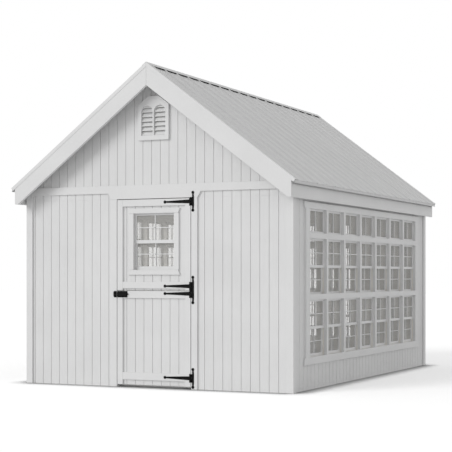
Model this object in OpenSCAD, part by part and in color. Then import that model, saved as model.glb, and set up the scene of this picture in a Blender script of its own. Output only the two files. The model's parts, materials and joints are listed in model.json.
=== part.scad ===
// A small timber greenhouse: grooved wall panels on stud walls, bands of double-hung windows,
// a ribbed metal gable roof, a louvred gable vent and a two-leaf Dutch door on T-strap hinges.
// The origin is the middle of the footprint on the ground, the front faces -Y and +Z is up.

/* [Building] */
// Width over the wall framing
frame_w = 3048; // [2900:1:3300]
// Length over the wall framing
frame_l = 4267; // [4200:1:4700]
// Height of the walls to the top of the upper plates
wall_h = 2045; // [2045:1:2100]
// Thickness of a framing timber
stud_t = 38; // [34:1:42]
// Depth of a framing timber, across the wall
stud_d = 89; // [80:1:95]
// Thickness of the grooved siding
siding_t = 12.7; // [9:0.1:16]
// Thickness of the trim boards
trim_t = 19; // [16:0.5:24]
// Width of the trim boards
trim_w = 75; // [60:1:80]
// Gap between sheets or boards that meet in one row
joint_gap = 0.5; // [0.3:0.1:2]

/* [Roof] */
// Angle of the slopes, for a rise of 9 on a run of 12
roof_angle = 36.87; // [34:0.01:38]
// Height of the roof surface above the walls, over the outer face of the framing
roof_heel = 120; // [115:1:135]
// Distance from the wall framing to the outer face of a fascia
eave_out = 74; // [68:1:100]
// How far the metal sheets reach past a fascia
sheet_drip = 36; // [20:1:60]
// Distance from the ridge to the upper edge of the metal sheets, along the slope
ridge_gap = 10; // [5:1:20]
// How far the lower edge of a fascia lies below the top of the walls
fascia_drop = 140; // [130:1:150]
// How far the soffit boards lie above the lower edge of a fascia
soffit_up = 55; // [40:1:58]
// Distance from the wall framing to the outer face of a rake board
rake_reach = 184; // [120:1:220]
// Thickness of a rake board
rake_t = 38; // [19:1:44]
// Depth of a rake board, measured straight down
rake_h = 202; // [180:1:215]
// Thickness of the roof deck
deck_t = 11; // [9:0.5:18]
// Thickness of the flat part of a metal sheet
sheet_t = 3; // [1:0.5:4]
// Spacing of the tall ribs of the sheets
rib_pitch = 250; // [200:1:300]
// Height of a tall rib above the flat of the sheet
rib_h = 10; // [6:1:14]
// Width of a tall rib at its foot
rib_foot = 50; // [40:1:60]
// Width of a tall rib at its top
rib_top = 24; // [14:1:34]
// Height of a low rib above the flat of the sheet
low_rib_h = 2; // [1:0.5:4]
// Spacing of the rafters
rafter_pitch = 609.6; // [400:0.1:640]
// Spacing of the studs in the gables
gable_stud_pitch = 610; // [400:1:640]
// Depth of the ridge board
ridge_board_h = 140; // [120:1:180]
// Half width of the ridge cap, along the slope
cap_reach = 58; // [40:1:120]
// Thickness of folded roof trim
fold_t = 3; // [1:0.5:4]
// Depth of a gable edge trim on the face of the rake board
edge_trim_h = 36; // [28:1:50]
// Width of a gable edge trim on the roof
edge_trim_w = 36; // [24:1:60]
// Thickness of the soffit boards
soffit_t = 10; // [6:1:14]

/* [Windows] */
// Number of window columns in each long wall
side_columns = 7; // [5:1:7]
// Number of window columns in the rear wall
rear_columns = 3; // [1:1:3]
// Distance from the end of a long wall to the middle of its first mullion
window_margin = 373; // [350:1:420]
// Height of the window sills
sill_z = 328; // [250:1:400]
// How far the top of the upper windows lies below the top of the walls
window_drop = 221; // [218:1:255]
// Share of the window height taken by the lower row
lower_share = 0.385; // [0.36:0.001:0.4]
// Share of the window height taken by the upper row
upper_share = 0.2005; // [0.19:0.0005:0.22]
// Height of a cover between two rows of windows
cross_cover_h = 58; // [46:1:70]
// Width of a cover between two columns of windows
mullion_w = 50; // [46:1:60]
// How far an upper sash stands behind the face of the framing
sash_back = 0.5; // [0.3:0.1:20]
// Thickness of a sash
sash_t = 18; // [14:1:30]
// Width of the stiles and rails of a sash
sash_rail = 28; // [22:1:42]
// Clearance round a sash in its frame
sash_clear = 2; // [1:0.5:4]
// Thickness of the window glass
glass_t = 3; // [2:0.5:6]
// How far head and sill trims reach past the jamb trims
trim_flare = 43; // [20:1:80]
// Height of the head trims
head_trim_h = 65; // [50:1:70]
// How far the sloped ends of head and sill trims run back
trim_end_cut = 20; // [0:1:30]

/* [Door] */
// Width of the doorway between its jambs
door_w = 868; // [800:1:900]
// How far the top of the doorway lies below the top of the walls
door_drop = 108; // [100:1:115]
// Gap between a leaf and the doorway
leaf_gap = 7; // [6:0.5:10]
// Gap between the upper and the lower leaf
split_gap = 5; // [5:0.5:8]
// How far the gap between the leaves lies above the middle of the doorway
split_up = 25; // [0:0.5:40]
// Height of the lower leaf above the ground
leaf_foot = 25; // [10:1:40]
// Thickness of a leaf behind its battens
leaf_t = 46; // [46:1:50]
// Width of the door casings
casing_w = 68; // [60:1:90]
// How far the lower edge of the front band board lies below the top of the walls
band_drop = 46; // [40:1:50]
// Height of the front band board
band_h = 81; // [60:1:100]
// How far the crosshead board reaches past the door casings at its top
crosshead_out = 39; // [38:1:60]
// How far the ends of the crosshead board slope inwards
crosshead_cut = 38; // [0:1:40]
// Distance from the side of the upper leaf to the opening for its window
door_window_in = 191; // [188:1:240]
// Distance from the lower edge of the upper leaf to that opening
door_window_up = 211; // [200:1:240]
// Distance from the top of the upper leaf to that opening
door_window_drop = 144; // [138:1:180]
// How far the upper sash in the door stands behind the grooved face of the leaf
door_sash_back = 17.5; // [0.5:0.5:17.5]
// Thickness of a sash in the door
door_sash_t = 14; // [12:0.5:14]
// Width of the stiles and top rails of a sash in the door
door_sash_rail = 20; // [16:1:34]
// Height of the lower rails of a sash in the door
door_sash_foot = 36; // [24:1:44]
// Width of the trims beside the door window
door_trim_w = 55; // [44:1:66]
// Height of the trims over and under the door window
door_trim_h = 51; // [40:1:54]
// How far those trims reach past the ones beside the window
door_trim_flare = 12; // [0:1:20]
// Width of the upright battens of the leaves
door_stile_w = 62; // [54:1:64]
// Width of the level battens of the upper leaf
upper_batten_w = 70; // [60:1:75]
// Distance from the lower edge of the upper leaf to the top of its low batten
upper_batten_up = 89; // [84:1:94]
// Distance from the lower edge of the lower leaf to its low batten
lower_batten_up = 51; // [30:1:60]
// Thickness of the door jambs
jamb_t = 19; // [16:0.5:24]
// Thickness of a door stop
stop_t = 12; // [8:0.5:16]
// Depth of a door stop, across the wall
stop_d = 34; // [20:1:36]

/* [Hinges and latch] */
// Thickness of the strap and plate metal
strap_t = 3; // [2:0.5:4]
// Length of a strap from the hinge line to the middle of its ball end
strap_l = 296; // [220:1:330]
// Height of a strap at the hinge line
strap_root = 40; // [32:1:42]
// Height of a strap beside its ball end
strap_neck = 16; // [12:1:20]
// Diameter of the ball ends
ball_d = 31; // [26:1:36]
// Diameter of the hinge barrels
barrel_d = 13; // [12:0.5:14]
// Diameter of the hinge pins
pin_d = 6; // [5:0.5:7]
// Clearance between a pin and its bore, and between barrel lengths
pin_clear = 0.4; // [0.3:0.1:0.8]
// Length of a fixed barrel above or below a strap
fixed_barrel = 22; // [16:1:26]
// Height of a single hinge plate with its ball ends
plate_h = 210; // [180:1:230]
// Distance from the hinge line to the middle of a hinge plate
plate_in = 24; // [22:1:32]
// Width of a hinge plate on each side of that middle
plate_reach = 13; // [12:1:18]
// Height of the flange at the root of a strap
flange_h = 86; // [60:1:100]
// Width of that flange
flange_w = 10; // [6:1:16]
// Distance from the top of the upper leaf to the middle of its high strap
top_strap_in = 33; // [28:1:50]
// Distance from the gap between the leaves to the middle of the strap above it
upper_strap_in = 45; // [40:1:50]
// Distance from the gap between the leaves to the middle of the strap below it
lower_strap_in = 26; // [25:1:36]
// Distance from the foot of the lower leaf to the middle of its low strap
foot_strap_in = 87; // [84:1:115]
// Distance from the top of the lower leaf to the middle of the slide bolt
bolt_in = 35; // [34:1:45]
// Length of the slide bolt plate on the leaf
bolt_plate_l = 120; // [100:1:160]
// Height of the slide bolt plate and its keeper
bolt_plate_h = 66; // [50:1:66]
// Height of the slide bolt case on its plate
bolt_case_h = 46; // [30:1:50]
// Depth of that case
bolt_case_t = 14; // [12:1:18]
// Margin of the plate past the case at its ends
bolt_margin = 6; // [2:1:12]
// Diameter of the slide bolt
bolt_d = 10; // [8:0.5:12]
// Length of the bolt that shows past its case, with its knob
knob_l = 12; // [10:1:20]

/* [Gable vent] */
// Half width of the vent frame
vent_reach = 178; // [160:1:200]
// Distance from the roof surface at the ridge to the top of the vent frame
vent_drop = 322; // [300:1:340]
// Height of the vent frame
vent_h = 451; // [445:1:500]
// Half width of the flat top of the vent frame
vent_flat = 60; // [30:1:90]
// Thickness of the vent frame
vent_t = 25; // [20:1:32]
// Width of a louvred opening
vent_open_w = 132; // [100:1:140]
// Distance between the middles of the two openings
vent_open_pitch = 148; // [144:1:170]
// Distance from the lower edge of the vent frame to its openings
vent_open_up = 48; // [40:1:60]
// Height of the openings to the crown of their arches
vent_open_h = 307; // [260:1:320]
// Number of louvre slats in an opening
slat_count = 6; // [4:1:6]
// Width of a louvre slat
slat_w = 52; // [40:1:56]
// Slope of the louvre slats
slat_angle = 60; // [40:1:65]
// Thickness of a louvre slat
slat_t = 5; // [4:0.5:8]

/* [Hidden] */

$fn = 32;
// A cut reaches this far past the faces that it cuts
over = 10;

// Clearance between a piece and what it sits on, stands against or hangs in
seat_gap = 0.3;

half_w = frame_w / 2;
half_l = frame_l / 2;
trim_face = siding_t + trim_t;
rake_face = half_l + rake_reach;
edge_face = rake_face + seat_gap + fold_t;
rise = tan(roof_angle);
// Straight-down depth of one unit of thickness on the slope
plumb = 1 / cos(roof_angle);

fascia_reach = half_w + eave_out;
fascia_z = wall_h - fascia_drop;
soffit_z = fascia_z + soffit_up;
eave_reach = fascia_reach + sheet_drip;
// Height of the tops of the ribs at the ridge, and depths straight down from there
roof_apex = wall_h + roof_heel + rise * half_w;
sheet_drop = (sheet_t + rib_h) * plumb;
deck_top_drop = sheet_drop + seat_gap * plumb;
deck_low_drop = deck_top_drop + deck_t * plumb;
deck_drop = deck_low_drop + seat_gap * plumb;
rafter_drop = deck_drop + stud_d * plumb;
rake_drop = deck_drop + rake_h;
function roof_z(x, drop) = roof_apex - rise * abs(x) - drop;

upper_plate_h = 2 * stud_t;
plate_z = wall_h - upper_plate_h;
column_pitch = (frame_l - 2 * window_margin) / side_columns;
head_z = wall_h - window_drop;
lower_cover_z = sill_z + lower_share * (head_z - sill_z);
upper_cover_z = head_z - upper_share * (head_z - sill_z);
block_in = (cross_cover_h - stud_t) / 2;
// Frame opening of each row of windows, between its sill, blocks and header
row_low = [sill_z, lower_cover_z + block_in + stud_t, upper_cover_z + block_in + stud_t];
row_high = [lower_cover_z + block_in, upper_cover_z + block_in, head_z + block_in];
header_z = head_z + block_in;
function band_reach(columns) = columns * column_pitch / 2;
function column_x(columns, i) = (i - (columns - 1) / 2) * column_pitch;
function mullion_x(columns, i) = (i - columns / 2) * column_pitch;

door_h = wall_h - door_drop;
band_z = wall_h - band_drop;
split_z = door_h / 2 + split_up;
leaf_reach = door_w / 2 - leaf_gap;
leaf_top = door_h - leaf_gap;
upper_leaf_z = split_z + split_gap / 2;
lower_leaf_top = split_z - split_gap / 2;
door_window_reach = leaf_reach - door_window_in;
door_window_z = upper_leaf_z + door_window_up;
door_window_top = leaf_top - door_window_drop;
top_strap_z = leaf_top - top_strap_in;
upper_strap_z = upper_leaf_z + upper_strap_in;
lower_strap_z = lower_leaf_top - lower_strap_in;
foot_strap_z = leaf_foot + foot_strap_in;
bolt_z = lower_leaf_top - bolt_in;
hinge_x = door_w / 2 - leaf_gap / 2;
hinge_y = trim_face + barrel_d / 2 + seat_gap;
vent_top = roof_apex - vent_drop;
vent_z = vent_top - vent_h;
vent_open_z = vent_z + vent_open_up;

// Stands children built with their outer framing face on y = 0, outwards to -y, at one wall
module at_wall(side) {
    turn = side == "front" ? 0 : side == "rear" ? 180 : side == "right" ? 90 : -90;
    reach = side == "front" || side == "rear" ? half_l : half_w;
    rotate([0, 0, turn]) translate([0, -reach, 0]) children();
}

// A block between two corners
module block(low, high) {
    translate(low) cube(high - low);
}

// A flat outline in x and z, with its back on y = face and its thickness outwards to -y
module outline(face, t) {
    translate([0, -face, 0]) rotate([90, 0, 0]) linear_extrude(t) children();
}

// Children made for the right half of the roof, on both sides
module both_slopes() {
    children();
    mirror([1, 0, 0]) children();
}

// Children made for the front, at the front and the rear
module both_ends() {
    children();
    mirror([0, 1, 0]) children();
}

// A flat outline in x and z, stretched along y from low to high
module along_y(low, high) {
    translate([0, high, 0]) rotate([90, 0, 0]) linear_extrude(high - low) children();
}

// An outline in y and height above the sheets' undersides, run down the right slope from u0 to u1
module down_slope(u0, u1) {
    translate([0, 0, roof_apex - sheet_drop]) rotate([0, roof_angle, 0]) translate([u0, 0, 0])
        rotate([90, 0, 90]) linear_extrude(u1 - u0) children();
}

// A board under the slope between two distances from the middle and two plumb depths
module slope_strip(x0, x1, top, bottom) {
    polygon([[x0, roof_z(x0, top)], [x0, roof_z(x0, bottom)], [x1, roof_z(x1, bottom)],
        [x1, roof_z(x1, top)]]);
}

module side_wall_plates() color("burlywood") {
    for (side = ["right", "left"]) at_wall(side) {
        block([-half_l, 0, 0], [half_l, stud_d, stud_t]);
        block([-half_l, 0, plate_z], [half_l, stud_d, wall_h]);
    }
}

module end_wall_plates() color("burlywood") {
    reach = half_w - stud_d;
    for (side = ["front", "rear"]) at_wall(side)
        block([-reach, 0, plate_z], [reach, stud_d, wall_h]);
    at_wall("rear") block([-reach, 0, 0], [reach, stud_d, stud_t]);
    at_wall("front") for (s = [0, 1]) mirror([s, 0, 0])
        block([door_w / 2 + jamb_t, 0, 0], [reach, stud_d, stud_t]);
}

// One stud, with its middle at x
module stud(x, low, high) {
    block([x - stud_t / 2, 0, low], [x + stud_t / 2, stud_d, high]);
}

module side_wall_studs() color("burlywood") {
    for (side = ["right", "left"]) at_wall(side) {
        for (i = [0 : side_columns]) stud(mullion_x(side_columns, i), stud_t, header_z);
        for (s = [-1, 1]) {
            stud(s * (half_l - stud_t / 2), stud_t, plate_z);
            stud(s * (band_reach(side_columns) + stud_t + joint_gap), stud_t, plate_z);
        }
    }
}

module end_wall_studs() color("burlywood") {
    corner = half_w - stud_d - stud_t / 2;
    jack = door_w / 2 + jamb_t + stud_t / 2;
    at_wall("rear") {
        for (i = [0 : rear_columns]) stud(mullion_x(rear_columns, i), stud_t, header_z);
        for (s = [-1, 1]) {
            stud(s * corner, stud_t, plate_z);
            stud(s * (band_reach(rear_columns) + stud_t + joint_gap), stud_t, plate_z);
        }
    }
    at_wall("front") for (s = [-1, 1]) {
        stud(s * jack, stud_t, plate_z);
        stud(s * (jack + corner) / 2, stud_t, plate_z);
        stud(s * corner, stud_t, plate_z);
    }
}

module gable_studs() color("burlywood") {
    count = floor(half_w / gable_stud_pitch) * 2;
    for (side = ["front", "rear"]) at_wall(side) for (i = [1 : count]) {
        x = (i - (count + 1) / 2) * gable_stud_pitch;
        stud(x, wall_h, roof_z(abs(x) + stud_t / 2, rafter_drop) - seat_gap);
    }
}

module wall_blocks(columns) {
    reach = (column_pitch - stud_t) / 2;
    for (i = [0 : columns - 1]) for (z = [sill_z - stud_t, row_high[0], row_high[1]])
        translate([column_x(columns, i), 0, 0]) block([-reach, 0, z], [reach, stud_d, z + stud_t]);
}

module window_blocks() color("burlywood") {
    for (side = ["right", "left"]) at_wall(side) wall_blocks(side_columns);
    at_wall("rear") wall_blocks(rear_columns);
}

module wall_header(columns) {
    reach = band_reach(columns) + stud_t / 2;
    block([-reach, 0, header_z], [reach, stud_d, plate_z]);
}

module window_headers() color("burlywood") {
    for (side = ["right", "left"]) at_wall(side) wall_header(side_columns);
    at_wall("rear") wall_header(rear_columns);
}

// Siding round a band of windows: two end sheets, one below and one above
module banded_siding(reach, columns, top) {
    cut = band_reach(columns);
    for (s = [0, 1]) mirror([s, 0, 0])
        block([cut + joint_gap, -siding_t, 0], [reach, 0, top]);
    block([-cut, -siding_t, 0], [cut, 0, sill_z]);
}

module side_siding() {
    reach = band_reach(side_columns);
    top = roof_z(half_w + siding_t, rafter_drop) - joint_gap;
    banded_siding(half_l, side_columns, top);
    block([-reach, -siding_t, head_z], [reach, 0, top]);
}

module right_siding() color("gainsboro") at_wall("right") side_siding();
module left_siding() color("gainsboro") at_wall("left") side_siding();

// The gable sheet, from a level edge up to the deck
module gable_sheet(low) {
    reach = half_w + siding_t;
    outline(0, siding_t) polygon([[-reach, low], [reach, low], [reach, roof_z(reach, deck_drop)],
        [0, roof_z(0, deck_drop)], [-reach, roof_z(reach, deck_drop)]]);
}

module front_siding() color("gainsboro") at_wall("front") {
    for (s = [0, 1]) mirror([s, 0, 0])
        block([door_w / 2, -siding_t, 0], [half_w + siding_t, 0, door_h - joint_gap]);
    difference() {
        gable_sheet(door_h);
        for (s = [-1, 1]) outline(-over, siding_t + 2 * over) vent_opening(s, 0);
    }
}

module rear_siding() color("gainsboro") at_wall("rear") {
    banded_siding(half_w + siding_t, rear_columns, head_z - joint_gap);
    gable_sheet(head_z);
}

module corner_trims() color("white") {
    for (sx = [0, 1], sy = [0, 1]) mirror([sx, 0, 0]) mirror([0, sy, 0]) {
        block([half_w + trim_face - trim_w, -half_l - trim_face, 0],
            [half_w + trim_face, -half_l - siding_t, band_z]);
        block([half_w + siding_t, -half_l - siding_t, 0],
            [half_w + trim_face, -half_l - trim_face + trim_w, soffit_z - joint_gap]);
    }
}

module front_band_board() color("white") at_wall("front") outline(siding_t, trim_t) {
    reach = half_w + trim_face;
    crosshead_reach = door_w / 2 + casing_w + crosshead_out;
    low_reach = crosshead_reach - crosshead_cut;
    polygon([[-reach, band_z], [-crosshead_reach, band_z], [-low_reach, door_h], [low_reach, door_h],
        [crosshead_reach, band_z], [reach, band_z], [reach, band_z + band_h],
        [-reach, band_z + band_h]]);
}

module door_casings() color("white") at_wall("front") for (s = [0, 1]) mirror([s, 0, 0])
    block([door_w / 2, -trim_face, 0], [door_w / 2 + casing_w, -siding_t, door_h]);

// Head trim with its ends cut on a slope; the sill trim is the same, upside down
module flared_trim(reach, flare, low, high, face, t) {
    cut = trim_end_cut;
    outline(face, t) polygon([[-reach - flare + cut, low], [reach + flare - cut, low],
        [reach + flare, high], [-reach - flare, high]]);
}

module wall_window_trims(columns) {
    reach = band_reach(columns) + trim_w;
    flared_trim(reach, trim_flare, head_z, head_z + head_trim_h, siding_t, trim_t);
    translate([0, 0, 2 * sill_z - trim_w]) mirror([0, 0, 1])
        flared_trim(reach, trim_flare, sill_z - trim_w, sill_z, siding_t, trim_t);
}

module window_head_and_sill_trims() color("white") {
    for (side = ["right", "left"]) at_wall(side) wall_window_trims(side_columns);
    at_wall("rear") wall_window_trims(rear_columns);
}

module wall_jamb_trims(columns) {
    for (s = [0, 1]) mirror([s, 0, 0])
        block([band_reach(columns), -trim_face, sill_z],
            [band_reach(columns) + trim_w, -siding_t, head_z]);
}

module window_jamb_trims() color("white") {
    for (side = ["right", "left"]) at_wall(side) wall_jamb_trims(side_columns);
    at_wall("rear") wall_jamb_trims(rear_columns);
}

// The covers stand on the framing, flush with the trims; the end ones stop at the jamb trims
module wall_mullion_covers(columns) {
    edge = band_reach(columns) - joint_gap;
    for (i = [0 : columns]) block(
        [max(mullion_x(columns, i) - mullion_w / 2, -edge), -trim_face, sill_z],
        [min(mullion_x(columns, i) + mullion_w / 2, edge), 0, head_z]);
}

module mullion_covers() color("white") {
    for (side = ["right", "left"]) at_wall(side) wall_mullion_covers(side_columns);
    at_wall("rear") wall_mullion_covers(rear_columns);
}

module wall_cross_covers(columns) {
    reach = (column_pitch - mullion_w) / 2;
    for (i = [0 : columns - 1]) for (z = [lower_cover_z, upper_cover_z])
        translate([column_x(columns, i), 0, 0])
            block([-reach, -trim_face, z], [reach, 0, z + cross_cover_h]);
}

module cross_covers() color("white") {
    for (side = ["right", "left"]) at_wall(side) wall_cross_covers(side_columns);
    at_wall("rear") wall_cross_covers(rear_columns);
}

// A sash round its glass, between two heights, with its outer face at a depth in the wall
module sash(reach, low, high, depth, t, rail, foot) {
    translate([0, depth, 0]) difference() {
        block([-reach, 0, low], [reach, t, high]);
        block([-reach + rail, -over, low + foot], [reach - rail, t + over, high - rail]);
    }
}

// The pane of that sash, 0.3 mm clear of it all round
module pane(reach, low, high, depth, t, rail, foot) {
    side = reach - rail - seat_gap;
    translate([0, depth + (t - glass_t) / 2, 0])
        block([-side, 0, low + foot + seat_gap], [side, glass_t, high - rail - seat_gap]);
}

// Lays out the sashes of a wall and calls a sash or a pane for each
module wall_windows(columns, glass) {
    reach = (column_pitch - stud_t) / 2 - sash_clear;
    for (i = [0 : columns - 1]) translate([column_x(columns, i), 0, 0]) for (row = [0 : 2]) {
        low = row_low[row] + (row == 0 ? 0 : seat_gap);
        high = row_high[row] - sash_clear;
        meet = (low + high) / 2;
        if (row == 2) window_part(glass, reach, low, high, sash_back);
        else {
            window_part(glass, reach, meet - sash_rail / 2, high, sash_back);
            window_part(glass, reach, low, meet + sash_rail / 2, sash_back + sash_t + seat_gap);
        }
    }
}

module window_part(glass, reach, low, high, depth) {
    if (glass) pane(reach, low, high, depth, sash_t, sash_rail, sash_rail);
    else sash(reach, low, high, depth, sash_t, sash_rail, sash_rail);
}

module right_sashes() color("white") at_wall("right") wall_windows(side_columns, false);
module left_sashes() color("white") at_wall("left") wall_windows(side_columns, false);
module rear_sashes() color("white") at_wall("rear") wall_windows(rear_columns, false);
module right_glass() color("lightblue", 0.4) at_wall("right") wall_windows(side_columns, true);
module left_glass() color("lightblue", 0.4) at_wall("left") wall_windows(side_columns, true);
module rear_glass() color("lightblue", 0.4) at_wall("rear") wall_windows(rear_columns, true);

// A rafter with its seat cut on the wall plate and its tail cut plumb behind the fascia
module rafter_outline() {
    tail = fascia_reach - trim_t;
    seat_in = half_w - (wall_h - roof_z(half_w, rafter_drop)) / rise;
    polygon([[stud_t / 2, roof_z(stud_t / 2, deck_drop)], [tail, roof_z(tail, deck_drop)],
        [tail, roof_z(tail, rafter_drop)], [half_w, roof_z(half_w, rafter_drop)],
        [half_w, wall_h], [seat_in, wall_h], [stud_t / 2, roof_z(stud_t / 2, rafter_drop)]]);
}

module rafters() color("burlywood") {
    count = floor((frame_l / 2 - stud_t) / rafter_pitch);
    places = concat([for (i = [-count : count]) i * rafter_pitch],
        [-half_l + stud_t / 2, half_l - stud_t / 2]);
    both_slopes() for (y = places) along_y(y - stud_t / 2, y + stud_t / 2) rafter_outline();
}

module ridge_board() color("burlywood")
    along_y(-half_l, half_l) polygon([
        [-stud_t / 2, roof_z(stud_t / 2, deck_drop) - ridge_board_h],
        [stud_t / 2, roof_z(stud_t / 2, deck_drop) - ridge_board_h],
        [stud_t / 2, roof_z(stud_t / 2, deck_drop)], [-stud_t / 2, roof_z(stud_t / 2, deck_drop)]]);

module roof_deck() color("tan") both_slopes() along_y(-rake_face, rake_face)
    slope_strip(joint_gap / 2, fascia_reach - trim_t, deck_top_drop, deck_low_drop);

// Cross section of a metal sheet: every third rib is a tall one
function rib(y, foot, top, h) = [[y + foot / 2, sheet_t], [y + top / 2, sheet_t + h],
    [y - top / 2, sheet_t + h], [y - foot / 2, sheet_t]];

module sheet_outline() {
    step = rib_pitch / 3;
    count = floor((rake_face - edge_trim_w - rib_foot / 2) / step);
    polygon(concat([[-rake_face, 0], [rake_face, 0], [rake_face, sheet_t]],
        [for (i = [count : -1 : -count]) each i % 3 == 0 ? rib(i * step, rib_foot, rib_top, rib_h)
            : rib(i * step, rib_foot / 2, rib_top / 2, low_rib_h)],
        [[-rake_face, sheet_t]]));
}

module roof_sheets() color("lightgray") both_slopes()
    down_slope(ridge_gap, eave_reach * plumb) sheet_outline();

module ridge_cap() color("lightgray") along_y(-edge_face, edge_face) {
    reach = cap_reach / plumb;
    low = -seat_gap * plumb;
    top = low - fold_t * plumb;
    polygon([[0, roof_z(0, low)], [reach, roof_z(reach, low)], [reach, roof_z(reach, top)],
        [0, roof_z(0, top)], [-reach, roof_z(reach, top)], [-reach, roof_z(reach, low)]]);
}

// A folded trim over each gable edge of the roof: its face lies on the rake board, its inner leg
// stands on the metal sheet and its top is level with the ribs
module gable_edge_trims() color("white") both_ends() both_slopes() intersection() {
    top = sheet_t + rib_h;
    inner = -rake_face + edge_trim_w;
    down_slope(-edge_trim_h, eave_reach * plumb) polygon([
        [-edge_face, top - edge_trim_h], [-edge_face + fold_t, top - edge_trim_h],
        [-edge_face + fold_t, top - fold_t], [inner - fold_t, top - fold_t],
        [inner - fold_t, sheet_t + seat_gap], [inner, sheet_t + seat_gap],
        [inner, top], [-edge_face, top]]);
    block([joint_gap / 2, -rake_face - over, 0], [eave_reach + over, 0, roof_apex]);
}

// Rake boards stop plumb at the eave and level at the height of the fascia
module rake_boards() color("white") both_ends() both_slopes()
    along_y(-rake_face, -rake_face + rake_t) {
        tip = joint_gap / 2;
        low_x = (roof_z(0, rake_drop) - fascia_z) / rise;
        polygon([[tip, roof_z(tip, deck_drop)], [tip, roof_z(tip, rake_drop)], [low_x, fascia_z],
            [fascia_reach, fascia_z], [fascia_reach, roof_z(fascia_reach, deck_drop)]]);
    }

module rake_soffits() color("white") both_ends() both_slopes()
    along_y(-rake_face + rake_t, -half_l - siding_t)
        slope_strip(joint_gap / 2, fascia_reach - trim_t, deck_drop, deck_drop + soffit_t * plumb);

module fascias() color("white") both_slopes() along_y(-rake_face + rake_t, rake_face - rake_t)
    polygon([[fascia_reach - trim_t, fascia_z], [fascia_reach, fascia_z],
        [fascia_reach, roof_z(fascia_reach, deck_drop)],
        [fascia_reach - trim_t, roof_z(fascia_reach - trim_t, deck_drop)]]);

module eave_soffits() color("white") both_slopes() block(
    [half_w + siding_t, -half_l - siding_t, soffit_z],
    [fascia_reach - trim_t, half_l + siding_t, soffit_z + soffit_t]);

// One round-headed opening of the vent, on the left or the right, drawn smaller by the inset
module vent_opening(side, inset) {
    radius = vent_open_w / 2;
    translate([side * vent_open_pitch / 2, 0]) {
        translate([0, vent_open_z + vent_open_h - radius]) circle(radius - inset);
        translate([-radius + inset, vent_open_z + inset])
            square([vent_open_w - 2 * inset, vent_open_h - radius - inset]);
    }
}

// The head of the frame follows the roof down from a short flat top
module gable_vent_frame() color("white") at_wall("front") difference() {
    shoulder = vent_top - (vent_reach - vent_flat) * rise;
    outline(siding_t, vent_t) polygon([[-vent_reach, vent_z], [vent_reach, vent_z],
        [vent_reach, shoulder], [vent_flat, vent_top], [-vent_flat, vent_top],
        [-vent_reach, shoulder]]);
    for (s = [-1, 1]) outline(-over, trim_face + vent_t + over) vent_opening(s, 0);
}

module gable_vent_slats() color("white") at_wall("front") {
    step = vent_open_h / (slat_count + 0.5);
    for (s = [-1, 1]) intersection() {
        outline(-siding_t, siding_t + vent_t + siding_t) vent_opening(s, seat_gap);
        for (i = [0 : slat_count]) translate([s * vent_open_pitch / 2, -siding_t, 0])
            translate([0, 0, vent_open_z + (i + 0.5) * step]) rotate([slat_angle, 0, 0])
                cube([vent_open_w, slat_w, slat_t], center = true);
    }
}

module door_side_jambs() color("white") at_wall("front") for (s = [0, 1]) mirror([s, 0, 0])
    block([door_w / 2, 0, 0], [door_w / 2 + jamb_t, stud_d, door_h]);

module door_head_jamb() color("white") at_wall("front")
    block([-door_w / 2 - jamb_t, 0, door_h], [door_w / 2 + jamb_t, stud_d, plate_z]);

module door_stops() color("white") at_wall("front") {
    back = leaf_t - siding_t + leaf_gap;
    for (s = [0, 1]) mirror([s, 0, 0])
        block([door_w / 2 - stop_t, back, 0],
            [door_w / 2, back + stop_d, door_h - stop_t - joint_gap]);
    block([-door_w / 2, back, door_h - stop_t], [door_w / 2, back + stop_d, door_h]);
}

// A plate outline from one ball end to the other, beside the hinge line
module plate_outline(low_strap, high_strap) {
    mid = (low_strap + high_strap) / 2;
    reach = (high_strap - low_strap) / 2;
    ball_at = reach + plate_h / 2 - ball_d / 2;
    wing = reach + strap_root / 2 + fixed_barrel;
    inner = barrel_d / 2 + pin_clear - plate_in;
    neck = strap_neck / 2;
    translate([hinge_x + plate_in, mid]) {
        for (s = [-1, 1]) translate([0, s * ball_at]) circle(d = ball_d);
        polygon([[inner, -wing], [inner, wing], [-neck, wing], [-neck, ball_at], [neck, ball_at],
            [plate_reach, wing], [plate_reach, -wing], [neck, -ball_at], [-neck, -ball_at],
            [-neck, -wing]]);
    }
}

// A barrel length round the hinge line
module barrel(low, high, bore) {
    translate([hinge_x, -hinge_y, low]) difference() {
        cylinder(d = barrel_d, h = high - low);
        if (bore > 0) translate([0, 0, -over]) cylinder(d = bore, h = high - low + 2 * over);
    }
}

// A fixed plate with its barrels and pin, for one strap or a pair of straps
module hinge_plate(low_strap, high_strap) {
    half_strap = strap_root / 2 + pin_clear;
    low_end = low_strap - half_strap - fixed_barrel;
    high_end = high_strap + half_strap + fixed_barrel;
    lengths = low_strap == high_strap
        ? [[low_end, low_strap - half_strap], [low_strap + half_strap, high_end]]
        : [[low_end, low_strap - half_strap], [low_strap + half_strap, high_strap - half_strap],
            [high_strap + half_strap, high_end]];
    outline(trim_face, strap_t) plate_outline(low_strap, high_strap);
    for (ends = lengths) {
        barrel(ends[0], ends[1], 0);
        block([hinge_x, -trim_face - strap_t, ends[0]],
            [hinge_x + barrel_d, -trim_face - seat_gap, ends[1]]);
    }
    translate([hinge_x, -hinge_y, low_end]) cylinder(d = pin_d, h = high_end - low_end);
}

module hinge_plates() color([0.08, 0.08, 0.08]) at_wall("front") {
    hinge_plate(top_strap_z, top_strap_z);
    hinge_plate(lower_strap_z, upper_strap_z);
    hinge_plate(foot_strap_z, foot_strap_z);
}

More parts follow.
